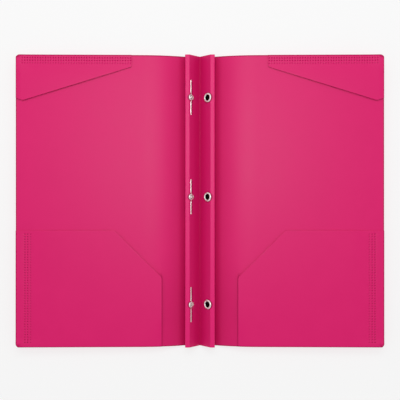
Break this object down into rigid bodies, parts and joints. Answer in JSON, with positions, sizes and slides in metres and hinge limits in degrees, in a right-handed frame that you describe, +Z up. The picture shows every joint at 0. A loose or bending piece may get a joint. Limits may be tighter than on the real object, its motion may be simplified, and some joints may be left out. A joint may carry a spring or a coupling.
{
  "type": "plastic pocket folder",
  "caption": "Open plastic pocket folder with a pleated spine, bendable metal prongs, eyelets, welded bottom pockets and slanting corner flaps.",
  "frame": {"origin": "on the table under the middle of the spine, halfway along it", "axes": "+X across the open folder towards the cover beside the eyelets, +Y along the spine towards the edge with the corner flaps, +Z up from the table"},
  "size_m": [0.3834, 0.3048, 0.0123],
  "materials": {
    "polypropylene": "satin",
    "nickel": "bright nickel plate"
  },
  "bodies": {
    "spine": {"spine_gusset": "polypropylene", "top_prong_head": "nickel", "top_prong_collar": "nickel", "top_eyelet": "nickel", "middle_prong_head": "nickel", "middle_prong_collar": "nickel", "middle_eyelet": "nickel", "bottom_prong_head": "nickel", "bottom_prong_collar": "nickel", "bottom_eyelet": "nickel"},
    "left_cover": {"left_cover": "polypropylene"},
    "right_cover": {"right_cover": "polypropylene"},
    "top_upper_leg": {"top_prong_upper_leg": "nickel"},
    "top_lower_leg": {"top_prong_lower_leg": "nickel"},
    "middle_upper_leg": {"middle_prong_upper_leg": "nickel"},
    "middle_lower_leg": {"middle_prong_lower_leg": "nickel"},
    "bottom_upper_leg": {"bottom_prong_upper_leg": "nickel"},
    "bottom_lower_leg": {"bottom_prong_lower_leg": "nickel"}
  },
  "joints": [
    {"name": "left_cover_hinge", "type": "hinge", "parent": "spine", "child": "left_cover", "pos_m": [-0.01595, 0, 0.0003], "axis": [0, 1, 0], "range_deg": [0, 90], "deforming": ["spine_gusset"]},
    {"name": "right_cover_hinge", "type": "hinge", "parent": "spine", "child": "right_cover", "pos_m": [0.01595, 0, 0.0003], "axis": [0, -1, 0], "range_deg": [0, 90], "deforming": ["spine_gusset"]},
    {"name": "top_upper_leg_bend", "type": "hinge", "parent": "spine", "child": "top_upper_leg", "pos_m": [-0.00728, 0.10892, 0.01124], "axis": [0.7222, 0, -0.6917], "range_deg": [0, 90]},
    {"name": "top_lower_leg_bend", "type": "hinge", "parent": "spine", "child": "top_lower_leg", "pos_m": [-0.00728, 0.10698, 0.01124], "axis": [-0.7222, 0, 0.6917], "range_deg": [0, 90]},
    {"name": "middle_upper_leg_bend", "type": "hinge", "parent": "spine", "child": "middle_upper_leg", "pos_m": [-0.00728, 0.00528, 0.01124], "axis": [0.7222, 0, -0.6917], "range_deg": [0, 90]},
    {"name": "middle_lower_leg_bend", "type": "hinge", "parent": "spine", "child": "middle_lower_leg", "pos_m": [-0.00728, 0.00332, 0.01124], "axis": [-0.7222, 0, 0.6917], "range_deg": [0, 90]},
    {"name": "bottom_upper_leg_bend", "type": "hinge", "parent": "spine", "child": "bottom_upper_leg", "pos_m": [-0.00728, -0.10698, 0.01124], "axis": [0.7222, 0, -0.6917], "range_deg": [0, 90]},
    {"name": "bottom_lower_leg_bend", "type": "hinge", "parent": "spine", "child": "bottom_lower_leg", "pos_m": [-0.00728, -0.10892, 0.01124], "axis": [-0.7222, 0, 0.6917], "range_deg": [0, 90]}
  ]
}
